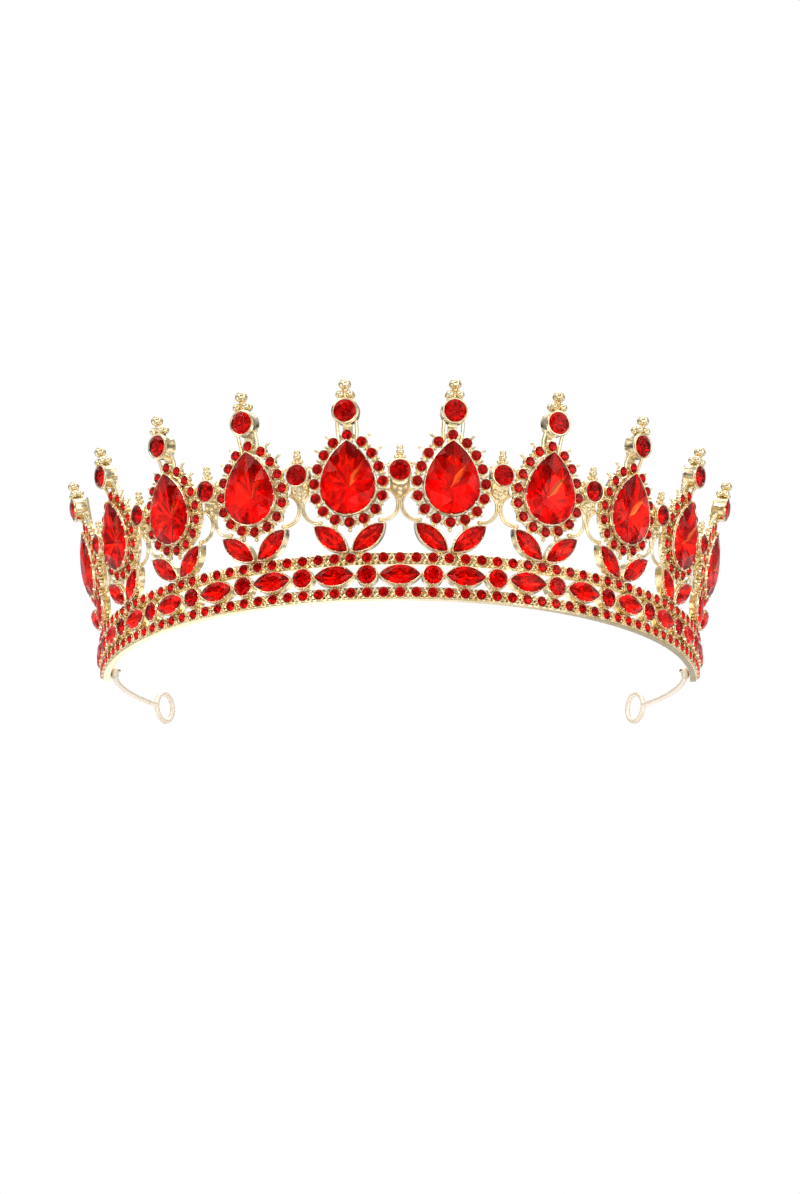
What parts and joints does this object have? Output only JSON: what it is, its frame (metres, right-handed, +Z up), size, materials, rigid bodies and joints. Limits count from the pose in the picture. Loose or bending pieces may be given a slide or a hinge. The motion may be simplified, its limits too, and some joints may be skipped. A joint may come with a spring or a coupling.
{
  "type": "tiara",
  "caption": "Open-backed gilt crown tiara with red pear, marquise and round stones, bead finials and a ribbon loop on each end arm.",
  "frame": {"origin": "on the ring's axis, in the plane of the band's bottom edge", "axes": "+Z up, the front of the crown faces -Y, +X to the wearer's left when worn facing -Y; the YZ plane is the plane of symmetry"},
  "size_m": [0.1724, 0.1271, 0.0496],
  "materials": {
    "gilt_casting": "polished pale gold plating on cast zinc alloy",
    "gilt_wire": "polished champagne gold plating on wire",
    "red_glass": "faceted red glass with a foil back",
    "dark_red_glass": "faceted deep red glass with a foil back"
  },
  "bodies": {
    "root": {"arm_rivet_left": "gilt_wire", "arm_rivet_right": "gilt_wire", "band_centre_settings": "gilt_casting", "band_lower_rail": "gilt_casting", "band_marquise_stones": "red_glass", "band_round_stones": "dark_red_glass", "band_upper_rail": "gilt_casting", "crown_stones": "dark_red_glass", "end_arm_left": "gilt_wire", "end_arm_right": "gilt_wire", "halo_stones_01": "dark_red_glass", "halo_stones_02": "dark_red_glass", "halo_stones_03": "dark_red_glass", "halo_stones_04": "dark_red_glass", "halo_stones_05": "dark_red_glass", "halo_stones_06": "dark_red_glass", "halo_stones_07": "dark_red_glass", "halo_stones_08": "dark_red_glass", "halo_stones_09": "dark_red_glass", "halo_stones_10": "dark_red_glass", "leaf_stones": "red_glass", "link_casting_01": "gilt_casting", "link_casting_02": "gilt_casting", "link_casting_03": "gilt_casting", "link_casting_04": "gilt_casting", "link_casting_05": "gilt_casting", "link_casting_06": "gilt_casting", "link_casting_07": "gilt_casting", "link_casting_08": "gilt_casting", "link_casting_09": "gilt_casting", "link_stones": "dark_red_glass", "lower_rail_stones": "dark_red_glass", "peak_casting_01": "gilt_casting", "peak_casting_02": "gilt_casting", "peak_casting_03": "gilt_casting", "peak_casting_04": "gilt_casting", "peak_casting_05": "gilt_casting", "peak_casting_06": "gilt_casting", "peak_casting_07": "gilt_casting", "peak_casting_08": "gilt_casting", "peak_casting_09": "gilt_casting", "peak_casting_10": "gilt_casting", "pear_stone_01": "red_glass", "pear_stone_02": "red_glass", "pear_stone_03": "red_glass", "pear_stone_04": "red_glass", "pear_stone_05": "red_glass", "pear_stone_06": "red_glass", "pear_stone_07": "red_glass", "pear_stone_08": "red_glass", "pear_stone_09": "red_glass", "pear_stone_10": "red_glass", "ribbon_loop_left": "gilt_wire", "ribbon_loop_right": "gilt_wire", "upper_rail_stones": "dark_red_glass"}
  },
  "joints": []
}
